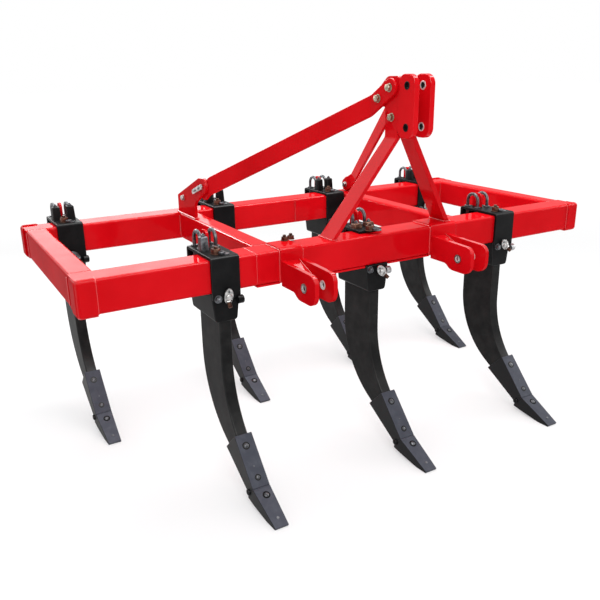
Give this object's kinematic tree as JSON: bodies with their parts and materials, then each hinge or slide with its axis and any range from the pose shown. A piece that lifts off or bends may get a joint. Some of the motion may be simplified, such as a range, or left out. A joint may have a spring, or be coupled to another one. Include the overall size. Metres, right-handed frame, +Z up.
{
  "type": "subsoiler",
  "caption": "Heavy tillage implement: a rectangular tube frame with a three-point hitch mast and curved deep-working legs clamped to its two beams.",
  "frame": {"origin": "on the ground, under the centre of the machine's plan rectangle", "axes": "+X to the right seen from the tractor, +Y away from the tractor, +Z up"},
  "size_m": [2.736, 1.692, 1.71],
  "materials": {
    "frame_paint": "gloss",
    "clamp_paint": "satin",
    "leg_paint": "satin",
    "wear_steel": "satin",
    "zinc_steel": "zinc plated",
    "dark_steel": "blackened"
  },
  "bodies": {
    "root": {"front_beam": "frame_paint", "rear_beam": "frame_paint", "beam_end_plates": "frame_paint", "side_tube_left": "frame_paint", "side_tube_right": "frame_paint", "cross_tube_left": "frame_paint", "cross_tube_right": "frame_paint", "corner_sleeve_front_left": "frame_paint", "corner_sleeve_front_right": "frame_paint", "corner_sleeve_rear_left": "frame_paint", "corner_sleeve_rear_right": "frame_paint", "beam_doublers": "frame_paint", "hitch_collar_left": "frame_paint", "hitch_collar_right": "frame_paint", "lower_hitch_left": "frame_paint", "lower_hitch_right": "frame_paint", "top_link_plate_left": "frame_paint", "top_link_plate_right": "frame_paint", "mast_leg_left": "frame_paint", "mast_leg_right": "frame_paint", "brace_bracket_left": "frame_paint", "brace_bracket_right": "frame_paint", "brace_left": "frame_paint", "brace_right": "frame_paint", "lower_pin_rings": "zinc_steel", "mast_spacers": "zinc_steel", "clamp_front_left": "clamp_paint", "shank_front_left": "leg_paint", "clamp_front_middle": "clamp_paint", "shank_front_middle": "leg_paint", "clamp_front_right": "clamp_paint", "shank_front_right": "leg_paint", "clamp_rear_far_left": "clamp_paint", "shank_rear_far_left": "leg_paint", "clamp_rear_left": "clamp_paint", "shank_rear_left": "leg_paint", "clamp_rear_right": "clamp_paint", "shank_rear_right": "leg_paint", "clamp_rear_far_right": "clamp_paint", "shank_rear_far_right": "leg_paint", "front_sockets": "clamp_paint", "front_shin_guards": "wear_steel", "front_points": "wear_steel", "front_u_bolts": "dark_steel", "front_clamp_keys": "frame_paint", "rear_sockets": "clamp_paint", "rear_shin_guards": "wear_steel", "rear_points": "wear_steel", "rear_u_bolts": "dark_steel", "rear_clamp_keys": "frame_paint"}
  },
  "joints": []
}
